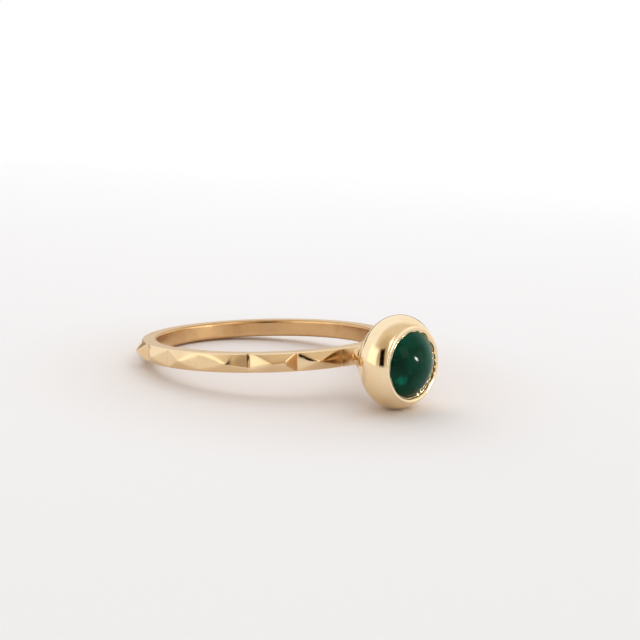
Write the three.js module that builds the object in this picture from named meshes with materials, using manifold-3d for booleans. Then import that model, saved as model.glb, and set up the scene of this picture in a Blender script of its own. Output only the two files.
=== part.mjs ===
// A stackable finger ring: a slender shank with a row of low pyramids round its outside, an open basket,
// and a fat domed bezel that holds a green cabochon. It lies on its side, as it does by itself on a table.
// Millimetres, +Z up. The stone points along +X, and the origin is under the middle of the ring.
import * as THREE from "three";
import { mergeVertices } from "three/addons/utils/BufferGeometryUtils.js";
import Module from "manifold-3d";

// Shank
const fingerDiameter = 17.0;
const shankWidth = 1.36;
const shankWall = 1.1;
const pyramidCount = 18;
const pyramidRelief = 0.5;

// Cabochon
const stoneDiameter = 5.0;
const stoneHeight = 2.5;
const stoneDomeHeight = 1.25;
const stoneEdgeChamfer = 0.25;
const stoneClearance = 0.12;

// Bezel
const bezelWall = 0.85;
const bezelDepth = 3.3;
const bezelRounding = 1.8;
const bezelBackOpening = 3.7;
const lipOverlap = 0.17;
const lipWidth = 0.38;
const lipRise = 0.1;
const lipCrown = 0.12;

// Basket
const basketHeight = 2.55;
const basketPostDiameter = 1.2;
const basketPostHeight = 0.68;
const basketPostSink = 0.35;
const basketPlateDiameter = 1.75;
const basketPlateThickness = 0.35;
const basketRibDiameter = 0.48;
const basketRibCount = 4;
const basketRailDiameter = 0.45;
const ribBellyAlong = 0.6;
const ribBellyOut = 0.4;

// Fineness of the round surfaces, in sides
const sidesPerPyramid = 4;
const bezelSides = 56;
const domeSteps = 9;
const bezelSteps = 14;
const lipSteps = 4;
const rodSides = 8;
const ribSteps = 6;

// Sizes that follow from the ones above
const fingerRadius = fingerDiameter / 2;
const shankRadius = fingerRadius + shankWall;
const stoneRadius = stoneDiameter / 2;
const bezelRadius = stoneRadius + bezelWall;
const bezelBack = shankRadius + basketHeight;
const bezelMiddle = bezelBack + bezelDepth / 2;
const plateMiddle = shankRadius + basketPostHeight + basketPlateThickness / 2;
const openingRadius = stoneRadius - lipOverlap;
const seatRadius = stoneRadius + stoneClearance;

// The dome of the stone is a cap of a sphere, and the lip closes on it with the clearance between them.
const domeRadius = (stoneRadius ** 2 + stoneDomeHeight ** 2) / (2 * stoneDomeHeight);
const crease = bezelPointAtRadius(openingRadius + lipWidth);
const lipEdge = crease.y + lipRise;
const domeCentre = lipEdge - capHeight(domeRadius + stoneClearance, openingRadius);
const stoneTop = domeCentre + domeRadius;
const stoneBottom = stoneTop - stoneHeight;
const stoneSeat = stoneBottom - stoneClearance;

const wasm = await Module();
wasm.setup();

// Height of a sphere's surface above its centre, at a distance from its axis.
function capHeight(sphereRadius, distance) {
  return Math.sqrt(sphereRadius ** 2 - distance ** 2);
}

// A point of the bezel's outer curve, an ellipse: 0 is the widest place, positive turns go to the front.
function bezelPoint(turn) {
  const radius = bezelRadius - bezelRounding * (1 - Math.cos(turn));
  return new THREE.Vector2(radius, bezelMiddle + (bezelDepth / 2) * Math.sin(turn));
}

// The point on the front half of that curve that has the given radius.
function bezelPointAtRadius(radius) {
  return bezelPoint(Math.acos(1 - (bezelRadius - radius) / bezelRounding));
}

// Merges the vertices that meet and drops triangles that have shrunk to a line.
function weld(geometry) {
  const bare = geometry.clone();
  bare.deleteAttribute("normal");
  bare.deleteAttribute("uv");
  const merged = mergeVertices(bare, 1e-5);
  const corners = merged.index.array;
  const kept = [];
  for (let i = 0; i < corners.length; i += 3) {
    const [a, b, c] = corners.slice(i, i + 3);
    if (a !== b && b !== c && c !== a) {
      kept.push(a, b, c);
    }
  }
  merged.setIndex(kept);
  return merged;
}

function toSolid(geometry) {
  const welded = weld(geometry);
  const mesh = new wasm.Mesh({
    numProp: 3,
    vertProperties: new Float32Array(welded.attributes.position.array),
    triVerts: new Uint32Array(welded.index.array),
  });
  return new wasm.Manifold(mesh);
}

function toGeometry(solid) {
  const mesh = solid.getMesh();
  const geometry = new THREE.BufferGeometry();
  geometry.setAttribute("position", new THREE.BufferAttribute(mesh.vertProperties, 3));
  geometry.setIndex(new THREE.BufferAttribute(mesh.triVerts, 1));
  geometry.computeVertexNormals();
  return geometry;
}

// Joins closed geometries into one.
function fuse(geometries) {
  const solids = geometries.map(toSolid);
  return toGeometry(solids.reduce((whole, next) => whole.add(next)));
}

// Turns a profile of (radius, distance along the axis) points round the +X axis.
function turnRoundX(profile, sides) {
  return new THREE.LatheGeometry(profile, sides).rotateZ(-Math.PI / 2);
}

// The outside stands above the shank's radius by the pyramids' relief, less the larger of two shares:
// the way from the peak to the groove beside it, and the way from the peak to the shank's flat side.
function pyramidHeight(alongShare, acrossShare) {
  return pyramidRelief * (1 - Math.max(alongShare, acrossShare));
}

// One cross-section of the shank as (radius, height) points: up the outside and back along the bore.
function shankSection(alongShare) {
  const half = shankWidth / 2;
  const section = [new THREE.Vector2(fingerRadius, -half)];
  for (const across of [-1, -0.5, 0, 0.5, 1]) {
    const radius = shankRadius + pyramidHeight(alongShare, Math.abs(across));
    section.push(new THREE.Vector2(radius, across * half));
  }
  section.push(new THREE.Vector2(fingerRadius, half));
  return section;
}

// A closed band of sections round the Z axis. A pyramid's four faces meet along the squares' diagonals,
// so each square is split towards the peak that it belongs to.
function shankGeometry() {
  const columns = pyramidCount * sidesPerPyramid;
  const positions = [];
  const corners = [];
  const half = sidesPerPyramid / 2;
  for (let column = 0; column < columns; column += 1) {
    const angle = (column / columns) * 2 * Math.PI;
    const place = column % sidesPerPyramid;
    const alongShare = Math.min(place, sidesPerPyramid - place) / half;
    for (const point of shankSection(alongShare)) {
      positions.push(point.x * Math.cos(angle), point.x * Math.sin(angle), point.y);
    }
  }
  const rows = positions.length / 3 / columns;
  const middleRow = (rows - 1) / 2;
  for (let column = 0; column < columns; column += 1) {
    const here = column * rows;
    const next = ((column + 1) % columns) * rows;
    const leavesPeak = column % sidesPerPyramid < half;
    for (let row = 0; row < rows; row += 1) {
      const up = (row + 1) % rows;
      if (leavesPeak === row < middleRow) {
        corners.push(here + row, next + row, here + up, next + row, next + up, here + up);
      } else {
        corners.push(here + row, next + row, next + up, here + row, next + up, here + up);
      }
    }
  }
  const geometry = new THREE.BufferGeometry();
  geometry.setAttribute("position", new THREE.Float32BufferAttribute(positions, 3));
  geometry.setIndex(corners);
  return geometry;
}

// The bezel is hollow: open behind, with a ledge that the stone stands on and a lip that closes over it.
function bezelProfile() {
  const backRadius = bezelBackOpening / 2;
  const backTurn = -Math.acos(Math.max(-1, 1 - (bezelRadius - backRadius) / bezelRounding));
  const creaseTurn = Math.acos(1 - (bezelRadius - crease.x) / bezelRounding);
  const profile = [];
  for (let step = 0; step <= bezelSteps; step += 1) {
    profile.push(bezelPoint(THREE.MathUtils.lerp(backTurn, creaseTurn, step / bezelSteps)));
  }
  for (let step = 1; step <= lipSteps; step += 1) {
    const share = step / lipSteps;
    const radius = THREE.MathUtils.lerp(crease.x, openingRadius, share);
    const crown = lipCrown * Math.sin(share * Math.PI);
    profile.push(new THREE.Vector2(radius, THREE.MathUtils.lerp(crease.y, lipEdge, share) + crown));
  }
  const seatTop = domeCentre + capHeight(domeRadius + stoneClearance, seatRadius);
  profile.push(new THREE.Vector2(seatRadius, seatTop));
  profile.push(new THREE.Vector2(seatRadius, stoneSeat));
  profile.push(new THREE.Vector2(backRadius, stoneSeat));
  profile.push(profile[0].clone());
  return profile;
}

function bezelGeometry() {
  return turnRoundX(bezelProfile(), bezelSides);
}

// A rail round the bezel's back opening, which the ribs run up to.
function basketRailGeometry() {
  const radius = bezelBackOpening / 2 + basketRailDiameter / 2;
  const rail = new THREE.TorusGeometry(radius, basketRailDiameter / 2, rodSides, bezelSides);
  return rail.rotateY(Math.PI / 2).translate(bezelBack, 0, 0);
}

// A short post on the outside of the shank, sunk into it a little. It carries a small round plate.
function basketPostGeometry() {
  const radius = basketPostDiameter / 2;
  const height = basketPostSink + basketPostHeight + basketPlateThickness / 2;
  const post = new THREE.CylinderGeometry(radius, radius, height, bezelSides / 2);
  return post.rotateZ(-Math.PI / 2).translate(plateMiddle - height / 2, 0, 0);
}

function basketPlateGeometry() {
  const radius = basketPlateDiameter / 2;
  const plate = new THREE.CylinderGeometry(radius, radius, basketPlateThickness, bezelSides / 2);
  return plate.rotateZ(-Math.PI / 2).translate(plateMiddle, 0, 0);
}

// A rib leans outwards from the plate to the rail, with a slight belly.
function basketRibGeometry(turn) {
  const ribRadius = basketRibDiameter / 2;
  const plateRadius = basketPlateDiameter / 2 - ribRadius;
  const railRadius = bezelBackOpening / 2 + basketRailDiameter / 2;
  const start = new THREE.Vector3(plateMiddle, 0, plateRadius);
  const end = new THREE.Vector3(bezelBack, 0, railRadius);
  const belly = new THREE.Vector3(
    THREE.MathUtils.lerp(start.x, end.x, ribBellyAlong),
    0,
    THREE.MathUtils.lerp(plateRadius, railRadius, ribBellyOut),
  );
  const path = new THREE.QuadraticBezierCurve3(start, belly, end);
  const section = new THREE.Shape(new THREE.EllipseCurve(0, 0, ribRadius, ribRadius).getPoints(rodSides));
  const rib = new THREE.ExtrudeGeometry(section, { extrudePath: path, steps: ribSteps });
  return rib.rotateX(turn);
}

// Everything that is soldered gold, as one solid.
function ringMetalGeometry() {
  const pieces = [shankGeometry(), basketPostGeometry(), basketPlateGeometry()];
  pieces.push(basketRailGeometry(), bezelGeometry());
  for (let rib = 0; rib < basketRibCount; rib += 1) {
    pieces.push(basketRibGeometry((rib / basketRibCount) * 2 * Math.PI));
  }
  return fuse(pieces);
}

// A flat back with a small chamfer, a straight girdle and the domed top.
function cabochonGeometry() {
  const profile = [
    new THREE.Vector2(0, stoneBottom),
    new THREE.Vector2(stoneRadius - stoneEdgeChamfer, stoneBottom),
    new THREE.Vector2(stoneRadius, stoneBottom + stoneEdgeChamfer),
  ];
  const edgeAngle = Math.asin(stoneRadius / domeRadius);
  for (let step = 0; step < domeSteps; step += 1) {
    const angle = edgeAngle * (1 - step / domeSteps);
    profile.push(new THREE.Vector2(domeRadius * Math.sin(angle), domeCentre + domeRadius * Math.cos(angle)));
  }
  profile.push(new THREE.Vector2(0, stoneTop));
  return fuse([turnRoundX(profile, bezelSides)]);
}

function goldMaterial() {
  return new THREE.MeshStandardMaterial({ color: 0xe2b878, roughness: 0.18, metalness: 1 });
}

function greenStoneMaterial() {
  return new THREE.MeshStandardMaterial({ color: 0x0a3d2e, roughness: 0.08, metalness: 0 });
}

// By itself the ring leans on two places: the underside of the bezel and the shank's far lower edge.
function restingTilt() {
  return Math.atan2(bezelRadius - shankWidth / 2, bezelMiddle + shankRadius);
}

function namedMesh(name, geometry, material) {
  const mesh = new THREE.Mesh(geometry, material);
  mesh.name = name;
  return mesh;
}

const ring = new THREE.Group();
ring.add(namedMesh("ring_metal", ringMetalGeometry(), goldMaterial()));
ring.add(namedMesh("cabochon", cabochonGeometry(), greenStoneMaterial()));
ring.rotation.y = -restingTilt();

// Stands the tilted ring on the ground, with the origin under the middle of its outline.
const outline = new THREE.Box3().setFromObject(ring, true);
const middle = outline.getCenter(new THREE.Vector3());
ring.position.set(-middle.x, -middle.y, -outline.min.z);

const model = new THREE.Group();
model.add(ring);

export default model;
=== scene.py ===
import math
import bpy
import bmesh
import numpy as np
from mathutils import Matrix, Vector


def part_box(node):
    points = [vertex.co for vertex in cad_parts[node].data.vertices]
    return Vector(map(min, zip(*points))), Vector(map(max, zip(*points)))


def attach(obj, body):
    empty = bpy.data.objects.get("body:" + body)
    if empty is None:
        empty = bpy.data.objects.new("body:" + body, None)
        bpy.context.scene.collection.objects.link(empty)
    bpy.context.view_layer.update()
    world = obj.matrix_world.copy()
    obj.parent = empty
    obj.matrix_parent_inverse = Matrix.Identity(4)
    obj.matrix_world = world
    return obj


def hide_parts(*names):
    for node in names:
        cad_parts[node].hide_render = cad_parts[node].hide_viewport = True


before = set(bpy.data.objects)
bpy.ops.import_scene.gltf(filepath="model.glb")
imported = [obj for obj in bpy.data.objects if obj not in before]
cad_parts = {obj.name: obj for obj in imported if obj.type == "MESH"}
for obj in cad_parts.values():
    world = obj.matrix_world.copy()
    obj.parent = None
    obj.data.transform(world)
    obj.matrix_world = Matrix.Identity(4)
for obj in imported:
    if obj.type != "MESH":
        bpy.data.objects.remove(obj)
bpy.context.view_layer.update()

mm = 0.001
metalNode = "ring_metal"
stoneNode = "cabochon"

# The ring's own axes: the finger's axis is z, the stone points along x. Sizes in millimetres.
ringSizes = {
    "fingerDiameter": 17.0,
    "shankWall": 1.1,
    "shankWidth": 1.36,
    "stoneDiameter": 5.0,
    "stoneHeight": 2.5,
    "stoneDomeHeight": 1.25,
    "bezelWall": 0.85,
    "bezelDepth": 3.3,
    "bezelRounding": 1.8,      # half width of the bezel's oval section
    "bezelBackOpening": 3.7,
    "basketHeight": 2.55,
    "lipOverlap": 0.17,
    "lipWidth": 0.38,
    "lipRise": 0.1,
    "seatClearance": 0.12,
    "stoneChamfer": 0.25,
}
fingerRadius = ringSizes["fingerDiameter"] / 2
shankRadius = fingerRadius + ringSizes["shankWall"]
halfWidth = ringSizes["shankWidth"] / 2
stoneRadius = ringSizes["stoneDiameter"] / 2
bezelRadius = stoneRadius + ringSizes["bezelWall"]
bezelBack = shankRadius + ringSizes["basketHeight"]
bezelMiddle = bezelBack + ringSizes["bezelDepth"] / 2
openingRadius = stoneRadius - ringSizes["lipOverlap"]
backRadius = ringSizes["bezelBackOpening"] / 2
domeRadius = (stoneRadius ** 2 + ringSizes["stoneDomeHeight"] ** 2) / (2 * ringSizes["stoneDomeHeight"])
restTilt = math.atan2(bezelRadius - halfWidth, bezelMiddle + shankRadius)


# Height of a sphere's surface above its centre: the square root of radius squared less distance squared.
def capHeight(radius, distance):
    return np.sqrt(radius ** 2 - np.asarray(distance, float) ** 2)


# The bezel's section is half an oval: radius = widest - rounding * (1 - cos turn),
# x = middle + depth / 2 * sin turn. The inset draws it in all round.
def bezelCurve(turn, inset=0.0):
    radius = bezelRadius - inset - ringSizes["bezelRounding"] * (1 - np.cos(turn))
    along = bezelMiddle + (ringSizes["bezelDepth"] / 2 - inset) * np.sin(turn)
    return np.stack([radius, along], -1)


# The turn at which the oval reaches a radius: arccos(1 - (widest - radius) / rounding).
def turnAtRadius(radius):
    return math.acos(1 - (bezelRadius - radius) / ringSizes["bezelRounding"])


creaseRadius = openingRadius + ringSizes["lipWidth"]
creaseTurn = turnAtRadius(creaseRadius)
lipEdge = bezelCurve(creaseTurn)[1] + ringSizes["lipRise"]
domeCentre = lipEdge - capHeight(domeRadius + ringSizes["seatClearance"], openingRadius)
stoneTop = domeCentre + domeRadius
stoneBottom = stoneTop - ringSizes["stoneHeight"]


# Turning by the resting tilt about y: x' = x cos - z sin, z' = x sin + z cos.
def tilted(points):
    c, s = math.cos(restTilt), math.sin(restTilt)
    x, y, z = points[..., 0], points[..., 1], points[..., 2]
    return np.stack([x * c - z * s, y, x * s + z * c], -1)


# The resting place: the middle of the stone's box in the frame, less the middle of the same box when the
# stone's edges are only tilted. The dome's top is the sphere's centre tilted, plus its radius.
def restingPlace():
    angles = np.linspace(0, 2 * np.pi, 721)
    rim = np.stack([0 * angles + domeCentre + capHeight(domeRadius, stoneRadius),
                    stoneRadius * np.cos(angles), stoneRadius * np.sin(angles)], -1)
    back = rim.copy()
    back[:, 0] = stoneBottom
    back[:, 1:] *= 1 - ringSizes["stoneChamfer"] / stoneRadius
    girdle = rim.copy()
    girdle[:, 0] = stoneBottom + ringSizes["stoneChamfer"]
    points = tilted(np.concatenate([rim, back, girdle]))
    low, high = points.min(0), points.max(0)
    high[0] = domeCentre * math.cos(restTilt) + domeRadius
    lowFrame, highFrame = (np.array(corner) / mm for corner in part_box(stoneNode))
    return (lowFrame + highFrame) / 2 - (low + high) / 2


ringCentre = restingPlace()
print("resting place, mm:", ringCentre.round(4), "tilt, degrees:", round(math.degrees(restTilt), 3))


# From the ring's own axes in millimetres to the frame in metres: tilted, then moved to the resting place.
def toWorld(points):
    return (tilted(np.asarray(points, float)) + ringCentre) * mm


# Faces of a grid of rows by columns, each square as four corners, joined round where asked.
def gridFaces(rows, columns, wrapRows, wrapColumns):
    r = np.arange(rows if wrapRows else rows - 1)[:, None]
    c = np.arange(columns if wrapColumns else columns - 1)[None, :]
    r2, c2 = (r + 1) % rows, (c + 1) % columns
    corners = [r * columns + c, r * columns + c2, r2 * columns + c2, r2 * columns + c]
    return np.stack(np.broadcast_arrays(*corners), -1).reshape(-1, 4)


# Puts grids into one mesh object, whole arrays at a time, then merges what meets and turns the faces out.
# The marks, each from 0 to 1, are kept as attributes that the gold reads.
def gridObject(name, grids, wrapRows=False, wrapColumns=True, place=toWorld, marks=None):
    vertices, faces, first = [], [], 0
    for points in grids:
        rows, columns = points.shape[:2]
        vertices.append(place(points).reshape(-1, 3))
        faces.append(gridFaces(rows, columns, wrapRows, wrapColumns) + first)
        first += rows * columns
    vertices, faces = np.concatenate(vertices), np.concatenate(faces)
    mesh = bpy.data.meshes.new(name)
    mesh.vertices.add(len(vertices))
    mesh.vertices.foreach_set("co", vertices.ravel())
    mesh.loops.add(faces.size)
    mesh.loops.foreach_set("vertex_index", faces.ravel())
    mesh.polygons.add(len(faces))
    mesh.polygons.foreach_set("loop_start", np.arange(0, faces.size, 4))
    mesh.polygons.foreach_set("loop_total", np.full(len(faces), 4))
    mesh.update(calc_edges=True)
    for key, values in (marks or {}).items():
        attribute = mesh.attributes.new(key, "FLOAT", "POINT")
        attribute.data.foreach_set("value", values.astype(np.float32).ravel())
    edit = bmesh.new()
    edit.from_mesh(mesh)
    bmesh.ops.remove_doubles(edit, verts=edit.verts, dist=1e-7)
    bmesh.ops.dissolve_degenerate(edit, edges=edit.edges, dist=1e-8)
    bmesh.ops.recalc_face_normals(edit, faces=edit.faces)
    edit.to_mesh(mesh)
    edit.free()
    mesh.polygons.foreach_set("use_smooth", np.ones(len(mesh.polygons), bool))
    piece = bpy.data.objects.new(name, mesh)
    bpy.context.scene.collection.objects.link(piece)
    return piece


# Turning a profile of (radius, x) points round the x axis: y = radius cos angle, z = radius sin angle.
def turned(profile, columns):
    angles = np.linspace(0, 2 * np.pi, columns, endpoint=False)
    radius, along = profile[:, 0][:, None], profile[:, 1][:, None]
    return np.stack([along + 0 * angles, radius * np.cos(angles), radius * np.sin(angles)], -1)


# The node that the piece stands for, and the material that it is shown in.
def rideAs(piece, node, material):
    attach(piece, "root")
    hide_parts(node)
    piece.data.materials.append(material)
    return piece


# Shader maths: a socket with the usual operators, so that an expression adds its Math nodes.
class Wire:
    def __init__(self, shader, socket):
        self.shader = shader
        self.socket = socket

    def maths(self, operation, *others):
        return self.shader.add("ShaderNodeMath", {"operation": operation}, [self, *others])

    def __add__(self, other):
        return self.maths("ADD", other)

    def __radd__(self, other):
        return self.maths("ADD", other)

    def __sub__(self, other):
        return self.maths("SUBTRACT", other)

    def __rsub__(self, other):
        return self.shader.add("ShaderNodeMath", {"operation": "SUBTRACT"}, [other, self])

    def __mul__(self, other):
        return self.maths("MULTIPLY", other)

    def __rmul__(self, other):
        return self.maths("MULTIPLY", other)

    def __abs__(self):
        return self.maths("ABSOLUTE")

    def clipped(self):
        return self.maths("MINIMUM", 1.0).maths("MAXIMUM", 0.0)

    def ramp(self, low, high):
        settings = {"interpolation_type": "SMOOTHSTEP"}
        inputs = {"Value": self, "From Min": low, "From Max": high}
        return self.shader.add("ShaderNodeMapRange", settings, inputs)


# One node tree, with a single method that adds a node of any type.
class Shader:
    def __init__(self, tree):
        self.tree = tree
        tree.nodes.clear()

    def add(self, kind, settings=None, inputs=None, output=0):
        node = self.tree.nodes.new(kind)
        for key, value in (settings or {}).items():
            setattr(node, key, value)
        pairs = enumerate(inputs) if isinstance(inputs, (list, tuple)) else (inputs or {}).items()
        for key, value in pairs:
            if isinstance(value, Wire):
                self.tree.links.new(value.socket, node.inputs[key])
            else:
                node.inputs[key].default_value = value
        return Wire(self, node.outputs[output]) if len(node.outputs) else node

    def mix(self, share, first, second):
        inputs = {0: share, 6: first, 7: second}
        return self.add("ShaderNodeMix", {"data_type": "RGBA"}, inputs, 2)

    def noise(self, place, scale, detail=2.0, roughness=0.5):
        inputs = {"Vector": place, "Scale": scale, "Detail": detail, "Roughness": roughness}
        return self.add("ShaderNodeTexNoise", {}, inputs, "Fac")

    def parts(self, vector):
        return [self.add("ShaderNodeSeparateXYZ", {}, [vector], axis) for axis in range(3)]


def rgb(r, g, b):
    return (r, g, b, 1.0)


def newMaterial(name):
    material = bpy.data.materials.new(name)
    material.use_nodes = True
    return material, Shader(material.node_tree)


# Studio: a wide pale floor that fades into a white room, soft cards round the ring, one soft lamp above, and
# a small lamp for the highlight on the stone. A place is an azimuth and an elevation in degrees, and a card's
# half sizes are in degrees too.
studio = {
    "floorRadius": 3.0,
    "floorColor": rgb(0.855, 0.862, 0.885),
    "floorSpots": rgb(0.868, 0.875, 0.898),
    # Painted shadow: the floor is tinted warmer and darker right by the ring.
    "paintedShadowTone": rgb(0.95, 0.90, 0.865),      # the floor's tone right by the ring, as a share of its colour
    "paintedShadowStart": 0.008,
    "paintedShadowEnd": 0.024,
    "fadeStart": 0.10,         # metres from the ring
    "fadeEnd": 0.32,
    "roomStrength": 1.0,
    "roomLight": rgb(1.03, 1.04, 1.07),
    "backdropLight": rgb(1.0, 1.0, 1.0),
    "dimWide": rgb(0.77, 0.69, 0.575),
    "dimDeep": rgb(0.53, 0.435, 0.32),
    "dimMiddle": (-15.0, 12.0),
    "deepMiddle": (-42.0, 29.0),
    "stripLight": rgb(0.010, 0.006, 0.004),
    "stripPlace": (-44.5, 14.0),
    "stripHalf": (9.5, 20.0),
    "behindLight": rgb(0.40, 0.34, 0.28),    # low behind the ring, seen by its flat side
    "behindPlace": (146.0, 1.0),
    "behindHalf": (34.0, 11.0),
    "sideLight": rgb(1.9, 1.85, 1.75),
    "sidePlace": (-2.0, 31.0),
    "sideHalf": (11.0, 11.0),
    "frontLight": rgb(1.7, 1.65, 1.55),
    "frontPlace": (36.0, 6.0),
    "frontHalf": (17.0, 15.0),
    "panelLight": rgb(1.35, 1.35, 1.25),
    "panelPlace": (-99.0, 13.0),
    "panelHalf": (27.0, 21.0),
    "panelSoftness": 0.1,      # of a card's edge, as a sine
    "frontSoftness": 0.07,
    "sideSoftness": 0.05,
    "behindSoftness": 0.06,
    "stripSoftness": 0.015,
    "glintPower": 0.00026,     # of the small lamp that makes the highlight on the stone
    "glintDistance": 0.06,
    "glintMiddle": (28.5, 11.0),
    "glintEnds": ((17.0, 24.0), (45.0, -2.0)),
    "glintSize": (0.0165, 0.0068),
    "glintSpread": 18.0,
    "fillLight": rgb(0.66, 0.60, 0.55),      # what the floor is lit by, apart from the lamp
    "lampPower": 1.27,
    "lampColor": (0.94, 1.02, 1.07),
    "lampSize": 0.7,
    "lampPlace": (-0.13, 0.15, 0.27),
}


# A wide disc. Its own colour, with a painted warm shadow right by the ring, fades by smooth steps to the
# room's white.
def buildFloor():
    angles = np.linspace(0, 2 * np.pi, 96, endpoint=False)
    radii = np.array([0.0, 0.03, 0.3, 1.0])[:, None] * studio["floorRadius"]
    points = np.stack([radii * np.cos(angles), radii * np.sin(angles), 0 * radii + 0 * angles], -1)
    floor = gridObject("floor", [points], place=lambda p: p)
    material, shader = newMaterial("paleFloor")
    place = shader.add("ShaderNodeTexCoord", {}, {}, "Object")
    distance = shader.add("ShaderNodeVectorMath", {"operation": "LENGTH"}, [place], "Value")
    fade = distance.ramp(studio["fadeStart"], studio["fadeEnd"])
    mottle = shader.noise(place, 9.0, 3.0)
    tone = shader.mix(mottle.ramp(0.3, 0.7), studio["floorColor"], studio["floorSpots"])
    # Painted shadow: a warmer, darker tone on the floor close to the ring.
    paintedShadowShare = 1 - distance.ramp(studio["paintedShadowStart"], studio["paintedShadowEnd"])
    paintedShadowTone = shader.mix(paintedShadowShare, rgb(1.0, 1.0, 1.0), studio["paintedShadowTone"])
    tone = shader.add("ShaderNodeVectorMath", {"operation": "MULTIPLY"}, [tone, paintedShadowTone])
    tone = shader.mix(fade, tone, rgb(0.0, 0.0, 0.0))
    glow = shader.mix(fade, rgb(0.0, 0.0, 0.0), studio["backdropLight"])
    inputs = {"Base Color": tone, "Roughness": 0.8, "Specular IOR Level": 0.1,
              "Emission Color": glow, "Emission Strength": 1.0}
    surface = shader.add("ShaderNodeBsdfPrincipled", {}, inputs)
    shader.add("ShaderNodeOutputMaterial", {}, {"Surface": surface})
    floor.data.materials.append(material)


# The room by direction: white above and behind, dimmer towards the camera, with one dark upright strip and
# some bright cards. Reflections see all of it, diffuse light is an even fill, the camera sees plain white.
def buildRoom():
    world = bpy.data.worlds.new("studioRoom")
    bpy.context.scene.world = world
    world.use_nodes = True
    shader = Shader(world.node_tree)
    way = shader.add("ShaderNodeTexCoord", {}, {}, "Generated")
    x, y, z = shader.parts(way)

    # The cosine of the angle between the way looked along and a heading.
    def towards(azimuth, elevation):
        a, e = math.radians(azimuth), math.radians(elevation)
        return x * (math.cos(a) * math.cos(e)) + y * (math.sin(a) * math.cos(e)) + z * math.sin(e)

    # How far a direction lies to the side of an azimuth, as a sine.
    def aside(azimuth):
        a = math.radians(azimuth)
        return y * math.cos(a) - x * math.sin(a)

    # A soft-edged card: azimuth and elevation of its middle and its half sizes, in degrees.
    def card(place, half, softness):
        width, height = (math.sin(math.radians(angle)) for angle in half)
        level = z - math.sin(math.radians(place[1]))
        across = 1 - abs(aside(place[0])).ramp(width - softness, width + softness)
        upright = 1 - abs(level).ramp(height - softness, height + softness)
        return across * upright * towards(place[0], 0.0).ramp(0.0, 0.1)

    facing = towards(*studio["dimMiddle"])
    dim = shader.mix(towards(*studio["deepMiddle"]).ramp(0.72, 1.0), studio["dimWide"], studio["dimDeep"])
    light = shader.mix(facing.ramp(-0.02, 0.36), studio["roomLight"], dim)
    for name in ("panel", "front", "side", "behind", "strip"):
        cardShare = card(studio[name + "Place"], studio[name + "Half"], studio[name + "Softness"])
        light = shader.mix(cardShare, light, studio[name + "Light"])
    diffuse = shader.add("ShaderNodeLightPath", {}, {}, "Is Diffuse Ray")
    direct = shader.add("ShaderNodeLightPath", {}, {}, "Is Camera Ray")
    light = shader.mix(diffuse, light, studio["fillLight"])
    light = shader.mix(direct, light, studio["backdropLight"])
    ground = shader.add("ShaderNodeBackground", {}, {"Color": light, "Strength": studio["roomStrength"]})
    shader.add("ShaderNodeOutputWorld", {}, {"Surface": ground})


# The lamp shapes the shadow and stays out of the reflections.
def buildLamp():
    lamp = bpy.data.lights.new("softLamp", "AREA")
    lamp.energy = studio["lampPower"]
    lamp.size = studio["lampSize"]
    lamp.color = studio["lampColor"]
    holder = bpy.data.objects.new("softLamp", lamp)
    bpy.context.scene.collection.objects.link(holder)
    holder.location = studio["lampPlace"]
    holder.rotation_mode = "QUATERNION"
    holder.rotation_quaternion = (-Vector(studio["lampPlace"])).to_track_quat("-Z", "Y")
    holder.visible_glossy = False


# A unit vector: (cos azimuth cos elevation, sin azimuth cos elevation, sin elevation).
def heading(azimuth, elevation):
    a, e = math.radians(azimuth), math.radians(elevation)
    return Vector((math.cos(a) * math.cos(e), math.sin(a) * math.cos(e), math.sin(e)))


# The small lamp stands near the stone, shines in a narrow cone and shows only in reflections. Its long side
# follows the line from one end of the highlight to the other.
def buildGlint():
    lamp = bpy.data.lights.new("glintLamp", "AREA")
    lamp.shape = "ELLIPSE"
    lamp.energy = studio["glintPower"]
    lamp.size, lamp.size_y = studio["glintSize"]
    lamp.spread = math.radians(studio["glintSpread"])
    holder = bpy.data.objects.new("glintLamp", lamp)
    bpy.context.scene.collection.objects.link(holder)
    out = heading(*studio["glintMiddle"])
    first, last = (heading(*end) for end in studio["glintEnds"])
    long = (last - first) - out * (last - first).dot(out)
    long.normalize()
    target = Vector(toWorld(np.array([stoneTop, 0.0, 0.0])))
    turn = Matrix((long, out.cross(long), out)).transposed()
    holder.matrix_world = Matrix.Translation(target + out * studio["glintDistance"]) @ turn.to_4x4()
    holder.visible_camera = False
    holder.visible_diffuse = False


# Camera: angles in degrees, lengths in metres, aim as the middle of the frame beside the ring's centre.
cameraView = {
    "azimuth": 47.052,
    "elevation": 13.378,
    "roll": 3.15,
    "distance": 0.09646,
    "focal": 69.3,
    "aimRight": 0.004198,
    "aimUp": 0.001809,
}


# The camera stands at the ring's centre plus its distance along the way back, and looks at the aim.
def buildCamera():
    a, e, r = (math.radians(cameraView[key]) for key in ("azimuth", "elevation", "roll"))
    back = Vector((math.sin(a) * math.cos(e), -math.cos(a) * math.cos(e), math.sin(e)))
    level = Vector((math.cos(a), math.sin(a), 0.0))
    upright = back.cross(level)
    right = level * math.cos(r) + upright * math.sin(r)
    up = upright * math.cos(r) - level * math.sin(r)
    centre = Vector(ringCentre * mm)
    eye = centre + back * cameraView["distance"]
    aim = centre + right * cameraView["aimRight"] + up * cameraView["aimUp"]
    newBack = (eye - aim).normalized()
    newRight = up.cross(newBack).normalized()
    newUp = newBack.cross(newRight)
    data = bpy.data.cameras.new("camera")
    data.lens = cameraView["focal"]
    data.sensor_width = 36.0
    data.clip_start, data.clip_end = 0.005, 10.0
    camera = bpy.data.objects.new("camera", data)
    bpy.context.scene.collection.objects.link(camera)
    turn = Matrix((newRight, newUp, newBack)).transposed()
    camera.matrix_world = Matrix.Translation(eye) @ turn.to_4x4()
    bpy.context.scene.camera = camera


print("studio and camera")
bpy.context.scene.view_settings.view_transform = "Standard"
buildFloor()
buildRoom()
buildLamp()
buildGlint()
buildCamera()
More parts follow.
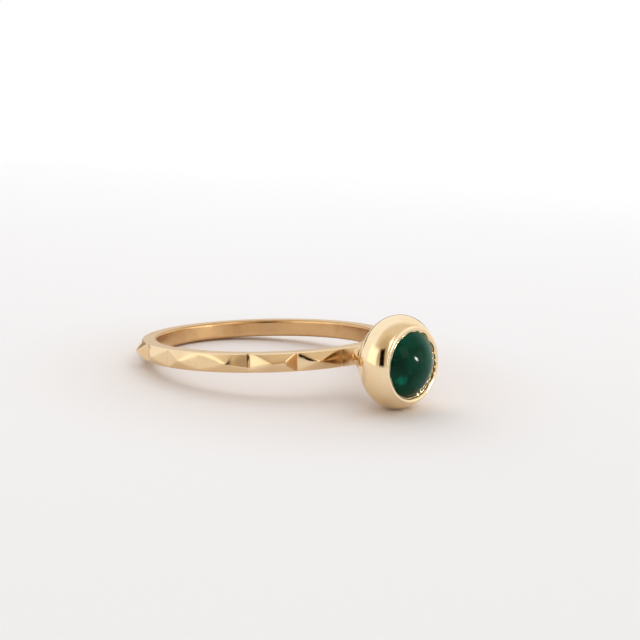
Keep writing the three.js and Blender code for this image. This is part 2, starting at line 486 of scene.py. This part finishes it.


# Polished yellow gold with fine polishing lines and small soft dents. A warmer, duller film lies in random
# patches and where the wear mark is set, which is partly wear and partly painted shade and painted
# reflection. Dark marks darken some grooves and a peak, and the brushed places are satin.
goldFinish = {
    "bright": rgb(0.95, 0.765, 0.505),
    "warm": rgb(0.93, 0.715, 0.435),
    "filmAndPaintedLight": rgb(0.60, 0.33, 0.12),
    "roughness": 0.055,
    "roughnessSpread": 0.05,
    "wornRoughness": 0.24,
    "brushedRoughness": 0.30,
    # Dark marks: a near-black colour laid along some grooves and at a peak.
    "darkMark": rgb(0.05, 0.03, 0.015),
    "plainTone": (1.0, 1.0, 1.0),
    # Painted shade: the band's gold is a darker, warmer copy of the same gold.
    "bandShadeTone": (0.94, 0.89, 0.84),
    "dents": 0.000014,
    "lines": 0.0000015,
}


# Film = patches * film share + wear and painted light * (0.6 + 0.5 * patches), from 0 to 1. Roughness = the
# plain value, give or take its spread by patches and lines, + what wear and brushing add.
def goldMaterial(name, filmAndShadeShare=0.06, tone=goldFinish["plainTone"]):
    material, shader = newMaterial(name)
    place = shader.add("ShaderNodeTexCoord", {}, {}, "Object")
    wearAndPaintedLight = shader.add("ShaderNodeAttribute", {"attribute_name": "wearAndPaintedLight"}, {}, "Fac")
    cloud = shader.noise(place, 420.0, 4.0, 0.6)
    patches = shader.noise(place, 1500.0, 3.0, 0.55)
    bright, warm = (rgb(*(a * b for a, b in zip(goldFinish[key], tone))) for key in ("bright", "warm"))
    color = shader.mix(cloud.ramp(0.35, 0.7), bright, warm)
    # Painted shade and painted reflection, with wear: the marked places turn to the film's warm brown.
    filmAndPaintedLight = (patches.ramp(0.45, 0.8) * filmAndShadeShare + wearAndPaintedLight * (0.6 + 0.5 * patches)).clipped()
    color = shader.mix(filmAndPaintedLight, color, goldFinish["filmAndPaintedLight"])
    # Dark marks darken the gold almost to black in some grooves and at a peak.
    darkMark = shader.add("ShaderNodeAttribute", {"attribute_name": "darkMark"}, {}, "Fac")
    color = shader.mix(darkMark.clipped(), color, goldFinish["darkMark"])
    streaked = shader.add("ShaderNodeMapping", {}, {"Vector": place, "Scale": (1.0, 1.0, 9.0)})
    lines = shader.noise(streaked, 5200.0, 2.0, 0.6)
    waves = shader.noise(place, 560.0, 2.0, 0.4)
    rough = goldFinish["roughness"] + goldFinish["roughnessSpread"] * (patches * 0.6 + lines * 0.4 - 0.5)
    brushed = shader.add("ShaderNodeAttribute", {"attribute_name": "brushed"}, {}, "Fac")
    rough = rough + goldFinish["wornRoughness"] * wearAndPaintedLight + goldFinish["brushedRoughness"] * brushed
    relief = waves * goldFinish["dents"] + lines * goldFinish["lines"]
    bump = shader.add("ShaderNodeBump", {}, {"Height": relief, "Strength": 1.0, "Distance": 1.0})
    inputs = {"Base Color": color, "Metallic": 1.0, "Roughness": rough, "Normal": bump}
    surface = shader.add("ShaderNodeBsdfPrincipled", {}, inputs)
    shader.add("ShaderNodeOutputMaterial", {}, {"Surface": surface})
    return material


# Band: filed and polished by hand, so every pyramid is a little different.
# Pyramids are counted from the stone, against the clock; each groove follows the pyramid of its number.
band = {
    "pyramids": 18,
    "relief": 0.5,
    "columnsPerPyramid": 56,
    "rowsAcross": 44,
    "ridgeSoftness": 0.05,     # millimetres by which the ridges between faces are rounded
    "grooveSoftness": 0.006,
    "edgeRadius": 0.07,
    "shiftSpread": 1.2,        # degrees
    "heightSpread": 0.04,      # millimetres
    "grooveSpread": 0.12,
    "peakShift": {13: 0.0, 14: -1.9, 15: 0.5, 16: 0.4, 17: -0.4},
    "grooveShift": {13: 0.0, 14: -2.7, 15: 0.4, 16: 1.1, 17: 2.2},
    "peakDrop": {0: 0.12, 12: -0.12, 13: 0.03, 14: 0.06, 15: 0.11},
    "grooveTop": {15: -0.06},
    "stepLow": {15: 0.24},     # how much lower the next face starts at the lower end of a groove
    "stepTop": {15: -0.04},
    "ridgeWidth": {0: 0.16, 16: 0.10, 17: 0.12},
    # Dark marks along a groove and at a peak.
    "grooveDarkMark": {15: 1.0},
    "peakDarkMark": {15: 0.9},
    # Painted reflection, with some wear: a darker, warmer film and more roughness on the face after the peak.
    "faceWearAndReflection": {0: 0.1, 16: 1.0, 17: 0.5},     # on the face after the peak
    "grooveLow": {13: 0.05, 14: 0.12, 15: 0.40, 16: 0.0, 17: 0.1},     # how full its lower end is
    "fullness": {0: 1.3, 15: 1.0, 16: 1.8, 17: 1.2},     # above 1 a face drops late and steeply
    # Painted shade, with wear: the bore's gold is darker, warmer and rougher, and a little beside the basket
    # too.
    "boreWearAndShade": 0.6,
    "rimWear": 1.0,
    "basketWearAndShade": 0.05,
    "basketBrushed": 1.0,      # a polishing wheel can't reach in by the basket
    "basketReach": 9.0,        # degrees to each side of the basket
    "boreRounding": 0.06,
    "rimMiddle": 0.06,         # of the worn line along the bore's rims, from the bore, and its half width
    "rimReach": 0.12,
    "seed": 11,
}


# Seeded small differences for all pyramids, then the values listed for single ones in their place.
def handmade(noise, spread, listed, middle=0.0, oneSided=False):
    values = middle + spread * noise.uniform(0 if oneSided else -1, 1, band["pyramids"])
    values[list(listed)] = list(listed.values())
    return values


# Rounds both ends of a share that runs from 0 at the peak to 1 at the groove: arccos(k cos(pi share)) / pi.
def softShare(share, softness):
    k = 1 - softness
    low = math.acos(k)
    return (np.arccos(k * np.cos(np.pi * share)) - low * 0.5) / (np.pi - low)


# The smaller of two heights with a rounded join: half of a + b less the root of (a - b)^2 + softness^2.
def softMinimum(a, b, softness):
    return 0.5 * (a + b - np.sqrt((a - b) ** 2 + softness ** 2))


# Radius along a straight line between two radii that stand an angle apart:
# product of radii * sin angle / (second * sin of the angle ahead + first * sin of the angle behind).
def chordRadius(first, second, angle, share):
    ahead, behind = np.sin(angle * (1 - share)), np.sin(angle * share)
    return first * second * np.sin(angle) / (second * ahead + first * behind)


# Height of the pyramids over the shank: the smaller of the side face, which falls along a straight line from
# peak to groove, and the edge face, crest * (1 - distance from the middle line). With it come marks on some
# faces, which are wear and painted reflection, and dark marks in grooves and at peaks.
def pyramidHeights(across):
    noise = np.random.default_rng(band["seed"])
    count, half = band["pyramids"], band["columnsPerPyramid"] // 2
    step = 2 * np.pi / count
    peakShifts = np.radians(handmade(noise, band["shiftSpread"], band["peakShift"]))
    peaks = (np.arange(count) + peakShifts / step) * step
    shifts = np.radians(handmade(noise, band["shiftSpread"], band["grooveShift"]))
    grooves = (np.arange(count) + 0.5) * step + shifts
    heights = band["relief"] - handmade(noise, band["heightSpread"], band["peakDrop"], oneSided=True)
    lows = handmade(noise, band["grooveSpread"], band["grooveLow"], oneSided=True)
    tops = handmade(noise, band["grooveSpread"] / 3, band["grooveTop"], oneSided=True)
    fullness = handmade(noise, 0.1, band["fullness"], middle=1.0)
    middles = handmade(noise, 0.05, {})
    widths = handmade(noise, 0.015, band["ridgeWidth"], middle=band["ridgeSoftness"])
    darkMarks = handmade(noise, 0.1, band["grooveDarkMark"], oneSided=True)
    spots = handmade(noise, 0.0, band["peakDarkMark"])
    faceWearsAndReflections = handmade(noise, 0.15, band["faceWearAndReflection"], oneSided=True)
    startLows = lows - handmade(noise, 0.0, band["stepLow"])
    startTops = tops - handmade(noise, 0.0, band["stepTop"])
    share = np.arange(half)[None, :] / half
    before = np.roll(grooves, 1)
    before[0] -= 2 * np.pi
    rising = before[:, None] + (peaks - before)[:, None] * share
    falling = peaks[:, None] + (grooves - peaks)[:, None] * share
    angle = np.concatenate([rising, falling], 1).ravel()
    down = np.concatenate([1 - share + 0 * peaks[:, None], share + 0 * peaks[:, None]], 1)
    down = np.clip(softShare(down, band["grooveSoftness"]), 0, 1).ravel()

    # One value a pyramid for the columns before its peak and another for those after it.
    def eachColumn(first, second):
        columns = [np.repeat(values[:, None], half, 1) for values in (first, second)]
        return np.concatenate(columns, 1).ravel()

    pyramid = np.repeat(np.arange(count), 2 * half)
    peak = eachColumn(heights, heights)
    bulge = eachColumn(np.ones(count), fullness) - 1
    span = eachColumn(peaks - before, grooves - peaks)
    low = eachColumn(np.roll(startLows, 1), lows)
    top = eachColumn(np.roll(startTops, 1), tops)
    around = np.append(peaks, peaks[0] + 2 * np.pi)
    crest = np.interp(angle, around, np.append(heights, heights[0]), period=2 * np.pi)
    middle = np.interp(angle, around, np.append(middles, middles[0]), period=2 * np.pi)
    groove = (top + low) / 2
    lean = (top - low) / 2 * across * np.clip(down * 6, 0, 1)
    high, deep = shankRadius + peak, shankRadius + groove
    knee = chordRadius(high, deep, span, 0.5) + bulge / 2 * (high - deep)
    upperPart = chordRadius(high, knee, span / 2, np.clip(2 * down, 0, 1))
    lowerPart = chordRadius(knee, deep, span / 2, np.clip(2 * down - 1, 0, 1))
    side = np.where(down < 0.5, upperPart, lowerPart) - shankRadius + lean
    slope = np.where(across > middle, (across - middle) / (1 - middle), (middle - across) / (1 + middle))
    edgeFace = crest * (1 - slope)
    toGroove = np.minimum(np.abs(angle - eachColumn(before, grooves)), 1)
    toPeak = np.abs(angle - eachColumn(peaks, peaks))
    reach = np.radians(0.45 + 0.4 * np.clip(across + 0.6, 0, 1))
    line = eachColumn(0 * darkMarks, darkMarks) * np.clip(1.4 - toGroove / reach, 0, 1)
    line = np.maximum(line, 0.9 * np.roll(darkMarks, 1)[pyramid] * (down > 0.999))
    onSide = np.clip((edgeFace - side) / 0.05 + 0.6, 0, 1)
    spot = eachColumn(0 * spots, spots) * np.clip(1.7 - toPeak / math.radians(1.7), 0, 1)
    # Painted reflection: faces after some peaks get the warm film and rougher gold.
    faceWearAndReflection = eachColumn(0 * faceWearsAndReflections, faceWearsAndReflections) * np.clip((down - 0.42) / 0.1, 0, 1) * onSide
    height = softMinimum(side, edgeFace, eachColumn(widths, widths))
    return angle, height, faceWearAndReflection, np.maximum(line, spot) * onSide


# The shank is a closed section carried round the finger: pyramids outside, flat sides, then the bore.
# It is worn in the bore and along the bore's rims, with painted shade darkening the bore and the gold by the
# basket, and satin on the flat sides and by the basket.
def shankPoints():
    across = np.linspace(-1, 1, band["rowsAcross"])[:, None]
    angle, height, faceWearAndReflection, darkMark = pyramidHeights(across)
    edge = np.clip((np.abs(across) - 1) * halfWidth / band["edgeRadius"] + 1, 0, 1)
    drop = band["edgeRadius"] * (1 - np.sqrt(1 - edge ** 2))
    outside = np.stack([shankRadius + height - drop, across * halfWidth + 0 * angle], -1)
    shares = np.linspace(0, 1, 9)[1:-1, None]
    flatWidth = fingerRadius + band["boreRounding"] - shankRadius + band["edgeRadius"]
    flat = shankRadius - band["edgeRadius"] + flatWidth * shares
    bore = np.linspace(1, -1, 12)[:, None]
    boreRound = band["boreRounding"] * np.abs(bore) ** 12
    sections = [outside]
    sections.append(np.stack([flat + 0 * angle, halfWidth + 0 * flat + 0 * angle], -1))
    sections.append(np.stack([fingerRadius + boreRound + 0 * angle, bore * halfWidth + 0 * angle], -1))
    sections.append(np.stack([flat[::-1] + 0 * angle, -halfWidth + 0 * flat + 0 * angle], -1))
    section = np.concatenate(sections)
    radius, height = section[..., 0], section[..., 1]
    fromBasket = np.abs((angle + np.pi) % (2 * np.pi) - np.pi)
    nearBasket = np.clip(1.6 - fromBasket / math.radians(band["basketReach"]), 0, 1)
    fromRim = np.abs(radius - fingerRadius - band["rimMiddle"])
    rim = np.clip(1.2 - fromRim / band["rimReach"], 0, 1) * band["rimWear"]
    # Painted shade and wear in the bore.
    inBore = (radius < fingerRadius + 0.02) * band["boreWearAndShade"]
    wearAndPaintedLight = np.maximum(np.maximum(nearBasket * band["basketWearAndShade"] + 0 * radius, rim), inBore)
    wearAndPaintedLight[:len(across)] = np.maximum(wearAndPaintedLight[:len(across)], faceWearAndReflection)
    brushed = (np.abs(height) > halfWidth - 1e-6) * (radius < shankRadius - 0.5 * band["edgeRadius"])
    brushed = np.maximum(brushed, nearBasket * band["basketBrushed"] + 0 * radius)
    darkMark = np.concatenate([darkMark, 0 * wearAndPaintedLight[len(across):]])
    marks = {"wearAndPaintedLight": wearAndPaintedLight, "darkMark": darkMark, "brushed": brushed}
    return np.stack([radius * np.cos(angle), radius * np.sin(angle), height], -1), marks


# Bezel: the oval section from back to crease, a small groove, the rolled lip, then the hollow inside.
bezel = {
    "columns": 320,
    "curveSteps": 72,
    "creaseDepth": 0.04,
    "creaseWidth": 0.07,
    "lipHeight": 0.095,        # over the crease
    "lipCrown": 0.02,
    "lipSlope": 0.03,          # how much lower the lip is at the stone than at the crease
    "lipFeather": 0.02,        # how thin the lip may get over the stone
    "lipThickness": 0.05,      # at its edge, where it would otherwise be thicker
    "lipSteps": 34,
    "lipGap": 0.006,           # between the lip and the stone
    "raggedness": 0.045,       # how far the burnished edge wanders
    "teeth": 0.1,
    "lipShift": 0.1,           # the opening sits off the bezel's middle, towards lipShiftTurn degrees
    "lipShiftTurn": -52.0,
    "lipForward": 0.02,
    "lipStep": 0.16,           # shares of the lip's width: where its step ends, its fall and its teeth start
    "lipFall": 0.7,
    "teethStart": 0.6,
    "thinStart": 0.4,          # and from where it thins
    "shiftReach": 0.55,        # millimetres outside the crease over which the shift fades
    "inset": 0.006,
    "seed": 5,
}


# The wandering of the burnished edge: a sum of cosines with seeded phases, plus small sharp teeth.
def raggedEdge(angles):
    noise = np.random.default_rng(bezel["seed"])
    counts = np.array([2, 3, 5, 7, 11, 16, 23])
    phases = noise.uniform(0, 2 * np.pi, len(counts))
    weights = 1 / counts ** 0.7
    wander = (weights[:, None] * np.cos(counts[:, None] * angles + phases[:, None])).sum(0) / weights.sum()
    toothPhase = 10 * angles + 1.9 * np.sin(2 * angles + 1.0) + 0.9 * np.sin(5 * angles)
    teeth = (np.abs(np.cos(toothPhase)) - 0.64) * (0.05 + 0.95 * (0.5 + 0.5 * np.cos(angles - 0.3)) ** 2)
    return bezel["raggedness"] * wander, bezel["teeth"] * teeth


# The bezel's closed profile is turned round the stone's axis. Radius = profile + weight * wander + tooth
# weight * teeth + shift weight * shift * cos(angle - its turn), so the lip is uneven and a little off centre,
# and it stays over the stone.
def bezelPoints():
    angles = np.linspace(0, 2 * np.pi, bezel["columns"], endpoint=False)
    wander, teeth = raggedEdge(angles)
    backTurn = -turnAtRadius(backRadius + bezel["inset"])
    curve = bezelCurve(np.linspace(backTurn, creaseTurn, bezel["curveSteps"]), bezel["inset"])
    toCrease = np.clip(1 - np.abs(curve[:, 0] - creaseRadius) / bezel["creaseWidth"], 0, 1)
    curve[:, 1] -= bezel["creaseDepth"] * (toCrease * (curve[:, 1] > bezelMiddle)) ** 2
    share = np.linspace(0, 1, bezel["lipSteps"] + 1)[1:]
    innerAlong = domeCentre + capHeight(domeRadius, openingRadius) + bezel["lipGap"]
    lipRadius = creaseRadius + (openingRadius - creaseRadius) * share
    step = np.clip(share / bezel["lipStep"], 0, 1)
    fall = np.clip((share - bezel["lipFall"]) / (1 - bezel["lipFall"]), 0, 1)
    level = curve[-1, 1] + bezel["lipHeight"] * (1 - (1 - step) ** 2)
    level = level + bezel["lipCrown"] * np.sin(np.pi * share) - bezel["lipSlope"] * share
    lipAlong = level + (innerAlong - level) * (1 - np.sqrt(1 - fall ** 2))
    under = np.linspace(openingRadius, stoneRadius - 0.02, 6)[1:]
    underAlong = domeCentre + capHeight(domeRadius, under) + bezel["lipGap"]
    wall = stoneRadius + bezel["lipGap"]
    inside = np.array([[wall, stoneBottom + 1.2], [wall, stoneBottom - bezel["lipGap"]],
                       [backRadius + 0.1, stoneBottom - bezel["lipGap"]], [backRadius, stoneBottom - 0.1],
                       [backRadius, bezelBack + 0.1]])
    lip = np.stack([lipRadius, lipAlong], -1)
    underLip = np.stack([under, underAlong], -1)
    profile = np.concatenate([curve, lip, underLip, inside])
    onLip = slice(len(curve), len(curve) + len(share))
    onUnder = slice(onLip.stop, onLip.stop + len(under))
    weight = np.zeros(len(profile))
    weight[onLip] = share ** 1.5
    weight[onUnder] = np.linspace(0.9, 0.0, len(under))
    toothWeight = np.zeros(len(profile))
    toothWeight[onLip] = (np.clip(share - bezel["teethStart"], 0, 1) / (1 - bezel["teethStart"])) ** 2
    toothWeight[onUnder] = np.linspace(0.9, 0.0, len(under))
    radius = profile[:, 0][:, None] + weight[:, None] * wander + toothWeight[:, None] * teeth
    along = profile[:, 1][:, None] + 0 * angles
    shiftWeight = np.clip((creaseRadius + bezel["shiftReach"] - profile[:, 0]) / bezel["shiftReach"], 0, 1)
    isInside = np.arange(len(profile)) >= onUnder.stop
    shiftWeight = np.where(isInside | (profile[:, 1] < bezelMiddle), 0, shiftWeight)
    shiftWeight[onUnder] = np.linspace(0.8, 0.0, len(under))
    shift = bezel["lipShift"] * np.cos(angles - math.radians(bezel["lipShiftTurn"]))
    radius = radius + shiftWeight[:, None] * shift
    along = along + shiftWeight[:, None] * bezel["lipForward"]
    edgeDome = domeCentre + capHeight(domeRadius, radius[onLip.stop - 1])
    excess = np.maximum(level[-1] + bezel["lipForward"] - edgeDome - bezel["lipThickness"], 0)
    thinShare = np.clip((share - bezel["thinStart"]) / (1 - bezel["thinStart"]), 0, 1)
    along[onLip] -= thinShare[:, None] ** 2 * excess
    dome = domeCentre + capHeight(domeRadius, np.minimum(radius, stoneRadius - 0.01))
    dome = dome + bezel["lipFeather"] * weight[:, None]
    nearLip = (weight > 0.75)[:, None] & (along < dome)
    along = np.where(nearLip, dome, along)
    return np.stack([along, radius * np.cos(angles), radius * np.sin(angles)], -1)


# Basket: a post on the shank carries a small plate, and ribs lean out from it to a rail under the bezel.
basket = {
    "postDiameter": 1.2,
    "postHeight": 0.68,
    "postSink": 0.35,
    "postFlare": 0.14,
    "postWaist": 0.05,         # how much slimmer the post is at its middle, on the radius
    "plateDiameter": 1.75,
    "plateThickness": 0.35,
    "plateRounding": 0.06,
    "railDiameter": 0.45,
    "ribDiameter": 0.48,
    "ribs": 4,
    "bellyAlong": 0.6,
    "bellyOut": 0.4,
    "sides": 28,
    "steps": 30,
    # Painted shade, with wear: the basket's gold is darker, warmer and rougher.
    "wearAndPaintedLight": 0.45,
}
plateMiddle = shankRadius + basket["postHeight"] + basket["plateThickness"] / 2


# A circle carried round a circle: centre radius + rod cos turn out from the axis, rod sin turn along it.
def railPoints():
    rod = basket["railDiameter"] / 2
    turns = np.linspace(0, 2 * np.pi, basket["sides"], endpoint=False)
    profile = np.stack([backRadius + rod + rod * np.cos(turns), bezelBack + rod * np.sin(turns)], -1)
    return turned(profile, 160)


# A post that widens by a smooth fillet at both ends: radius = waist + flare * (2 share - 1)^6.
def postPoints():
    radius = basket["postDiameter"] / 2 - basket["postWaist"]
    low = shankRadius - basket["postSink"]
    share = np.linspace(0, 1, 24)
    body = radius + basket["postFlare"] * np.abs(2 * share ** 0.75 - 1) ** 6
    along = low + (plateMiddle - low) * share
    radii = np.concatenate([[0.0], body, [0.0]])
    places = np.concatenate([[low], along, [plateMiddle]])
    return turned(np.stack([radii, places], -1), 96)


# A disc with rounded edges: quarter circles of the rounding join its flat ends to its rim.
def platePoints():
    radius, half = basket["plateDiameter"] / 2, basket["plateThickness"] / 2
    rounding = basket["plateRounding"]
    turns = np.linspace(-np.pi / 2, np.pi / 2, 16)
    rim = radius - rounding + rounding * np.cos(turns)
    along = plateMiddle + np.sign(turns) * (half - rounding) + rounding * np.sin(turns)
    radii = np.concatenate([[0.0, 0.5], rim, [0.5, 0.0]])
    places = np.concatenate([[plateMiddle - half] * 2, along, [plateMiddle + half] * 2])
    return turned(np.stack([radii, places], -1), 96)


# A round rod along a bent path: (1-t)^2 start + 2t(1-t) belly + t^2 end, a little thicker at both joints.
def ribPoints(turn):
    rod = basket["ribDiameter"] / 2
    railRadius = backRadius + basket["railDiameter"] / 2
    start = np.array([plateMiddle, 0.0, basket["plateDiameter"] / 2 - rod])
    end = np.array([bezelBack, 0.0, railRadius])
    belly = start + (end - start) * np.array([basket["bellyAlong"], 0.0, basket["bellyOut"]])
    t = np.linspace(0, 1, basket["steps"])[:, None]
    path = (1 - t) ** 2 * start + 2 * t * (1 - t) * belly + t ** 2 * end
    way = 2 * (1 - t) * (belly - start) + 2 * t * (end - belly)
    way /= np.linalg.norm(way, axis=1, keepdims=True)
    side = np.array([0.0, 1.0, 0.0])
    out = np.cross(way, side)
    a = np.linspace(0, 2 * np.pi, basket["sides"], endpoint=False)[None, :, None]
    width = rod * (0.92 + 0.1 * (2 * t - 1) ** 4)[:, :, None]
    points = path[:, None, :] + width * (np.cos(a) * side + np.sin(a) * out[:, None, :])
    ends = [np.repeat(path[index][None, None, :], basket["sides"], axis=1) for index in (0, -1)]
    points = np.concatenate([ends[0], points, ends[1]])
    c, s = math.cos(turn), math.sin(turn)
    x, y, z = points[..., 0], points[..., 1], points[..., 2]
    return np.stack([x, y * c - z * s, y * s + z * c], -1)


# Cabochon: a flat back with a chamfer, a straight girdle, then a cap of a sphere.
stone = {
    "columns": 192,
    "domeSteps": 48,
    "dark": rgb(0.0008, 0.017, 0.009),
    "green": rgb(0.0015, 0.085, 0.046),
    # Painted glow of light through the stone: a blue-green patch low on one side.
    "teal": rgb(0.001, 0.20, 0.14),
    "pale": rgb(0.012, 0.16, 0.095),
    # Painted glint: a bright green spot at the rim.
    "glint": rgb(0.20, 0.80, 0.34),
    # Painted reflection: the rough underside is coloured gold-brown for the gold round it.
    "back": rgb(0.46, 0.30, 0.12),       # the rough underside
    "roughness": 0.04,
    "darkSpot": (15.35, -1.95, 0.25),    # places in the ring's own axes, each with its inner and outer reach
    "darkReach": (0.3, 1.1),
    # Where the painted glow lies.
    "tealSpot": (15.47, -1.55, -0.95),
    "tealReach": (0.05, 0.6),
    # Where the painted glint lies.
    "glintSpot": (15.64, 1.22, -0.88),
    "glintReach": (0.05, 0.2),
}


# Dome: radius = sphere * sin angle, x = centre + sphere * cos angle, from the girdle's edge to the top.
def stonePoints():
    edge = math.asin(stoneRadius / domeRadius)
    angle = np.linspace(edge, 0, stone["domeSteps"])
    dome = np.stack([domeRadius * np.sin(angle), domeCentre + domeRadius * np.cos(angle)], -1)
    chamfer = ringSizes["stoneChamfer"]
    under = np.array([[0.0, stoneBottom], [1.2, stoneBottom], [stoneRadius - chamfer, stoneBottom],
                      [stoneRadius, stoneBottom + chamfer], [stoneRadius, stoneBottom + 0.7]])
    return turned(np.concatenate([under, dome]), stone["columns"])


# Deep green with cloudy patches and pale veins, a blue-green patch low on one side that is painted glow of
# light through the stone, a painted glint at the rim, a smooth dome and a rough underside, coloured
# gold-brown as a painted reflection of the gold round it.
def stoneMaterial():
    material, shader = newMaterial("greenCabochon")
    place = shader.add("ShaderNodeTexCoord", {}, {}, "Object")
    cloud = shader.noise(place, 380.0, 3.0, 0.5)
    veins = shader.noise(place, 2300.0, 4.0, 0.7)

    # From 1 inside the inner reach of a named spot to 0 past its outer reach.
    def near(name):
        spot = tuple(toWorld(np.array(stone[name + "Spot"])))
        inner, outer = stone[name + "Reach"]
        offset = shader.add("ShaderNodeVectorMath", {"operation": "DISTANCE"}, [place, spot], "Value")
        return 1 - offset.ramp(inner * mm, outer * mm)

    color = shader.mix(cloud.ramp(0.3, 0.72) * 0.75 + veins * 0.2, stone["dark"], stone["green"])
    color = shader.mix(near("dark") * 0.8, color, stone["dark"])
    # Painted glow of light through the stone, low on one side.
    color = shader.mix(near("teal") * veins.ramp(0.35, 0.6) * 0.8, color, stone["teal"])
    # Painted glint at the rim.
    color = shader.mix(near("glint"), color, stone["glint"])
    color = shader.mix(veins.ramp(0.58, 0.8) * 0.6, color, stone["pale"])
    x, y, z = shader.parts(place)
    offset = ringCentre[0] * math.cos(restTilt) + ringCentre[2] * math.sin(restTilt) + stoneBottom
    along = x * math.cos(restTilt) + z * math.sin(restTilt) - offset * mm
    under = 1 - along.ramp(0.2 * mm, 0.5 * mm)
    # Painted reflection: the underside turns gold-brown.
    color = shader.mix(under, color, stone["back"])
    rough = under * 0.4 + stone["roughness"]
    inputs = {"Base Color": color, "Roughness": rough, "IOR": 1.18, "Specular IOR Level": 0.5}
    surface = shader.add("ShaderNodeBsdfPrincipled", {}, inputs)
    shader.add("ShaderNodeOutputMaterial", {}, {"Surface": surface})
    return material


def basketPiece(name, points, wrapRows=False):
    marks = {"wearAndPaintedLight": np.full(points.shape[:2], basket["wearAndPaintedLight"])}
    piece = gridObject(name, [points], wrapRows=wrapRows, marks=marks)
    return rideAs(piece, metalNode, innerGold)


print("materials")
gold = goldMaterial("polishedGold")
# Painted shade: the band gets a darker, warmer copy of the gold.
shadedBandGold = goldMaterial("shadedBandGold", tone=goldFinish["bandShadeTone"])
# Painted shade: the basket's gold has a darker, warmer film all over.
innerGold = goldMaterial("basketGold", 0.35)

print("shank with pyramids")
shankGrid, shankMarks = shankPoints()
shankPiece = gridObject("shank", [shankGrid], wrapRows=True, marks=shankMarks)
rideAs(shankPiece, metalNode, shadedBandGold)

print("bezel and lip")
bezelPiece = gridObject("bezel", [bezelPoints()], wrapRows=True)
rideAs(bezelPiece, metalNode, gold)

print("basket")
basketPiece("basketRail", railPoints(), wrapRows=True)
basketPiece("basketPost", postPoints())
basketPiece("basketPlate", platePoints())
ribTurns = np.arange(basket["ribs"]) / basket["ribs"] * 2 * np.pi
for index, turn in enumerate(ribTurns):
    basketPiece(f"basketRib{index + 1}", ribPoints(turn))

print("cabochon")
stonePiece = gridObject("cabochonStone", [stonePoints()])
rideAs(stonePiece, stoneNode, stoneMaterial())
